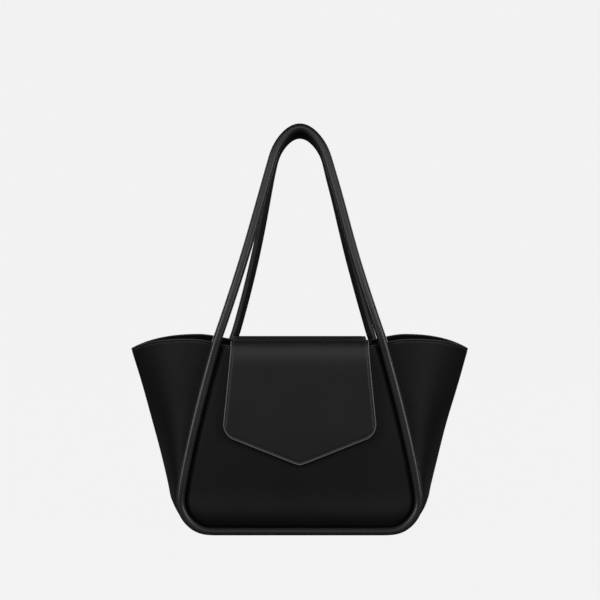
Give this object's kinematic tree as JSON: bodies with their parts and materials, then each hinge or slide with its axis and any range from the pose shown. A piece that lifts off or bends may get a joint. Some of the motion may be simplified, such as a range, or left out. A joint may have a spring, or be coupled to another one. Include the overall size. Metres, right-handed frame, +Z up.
{
  "type": "trapeze bag",
  "caption": "Leather trapeze shoulder bag with winged gussets, rolled piping that runs on into two handles, and a pentagonal front flap.",
  "frame": {"origin": "centre of the base's underside, on the surface the bag stands on", "axes": "+Z up, +X to the right seen from the front, +Y from the front panel to the back panel"},
  "size_m": [0.4032, 0.1228, 0.4828],
  "materials": {
    "leather": "smooth black leather with a satin finish",
    "lining": "matte black microsuede lining",
    "board": "grey reinforcing board",
    "cord": "undyed cotton filler cord",
    "hardware": "gunmetal plated steel"
  },
  "bodies": {
    "bag": {"front_panel": "leather", "back_panel": "leather", "left_gusset": "leather", "right_gusset": "leather", "base_panel": "leather", "base_board": "board", "front_stiffener": "board", "back_stiffener": "board", "front_lining": "lining", "back_lining": "lining", "left_lining": "lining", "right_lining": "lining", "base_lining": "lining", "front_piping": "leather", "front_piping_cord": "cord", "back_piping": "leather", "back_piping_cord": "cord", "flap_tail": "leather", "snap_socket": "hardware", "socket_washer": "hardware"},
    "flap_top": {"flap_top_leather": "leather", "flap_top_lining": "lining"},
    "flap_front": {"flap_front_leather": "leather", "flap_front_lining": "lining", "snap_stud": "hardware", "stud_washer": "hardware"},
    "front_handle": {"front_handle_leather": "leather", "front_handle_cord": "cord"},
    "back_handle": {"back_handle_leather": "leather", "back_handle_cord": "cord"}
  },
  "joints": [
    {"name": "flap_lift", "type": "hinge", "parent": "bag", "child": "flap_top", "pos_m": [0, 0.04445, 0.22336], "axis": [-1, 0, 0], "range_deg": [0, 15]},
    {"name": "flap_fold", "type": "hinge", "parent": "flap_top", "child": "flap_front", "pos_m": [0, -0.05906, 0.21836], "axis": [-1, 0, 0], "range_deg": [0, 168]},
    {"name": "front_handle_drop", "type": "hinge", "parent": "bag", "child": "front_handle", "pos_m": [0, -0.0563, 0.22855], "axis": [1, 0, 0], "range_deg": [0, 150]},
    {"name": "back_handle_drop", "type": "hinge", "parent": "bag", "child": "back_handle", "pos_m": [0, 0.0563, 0.22855], "axis": [-1, 0, 0], "range_deg": [0, 150]}
  ]
}
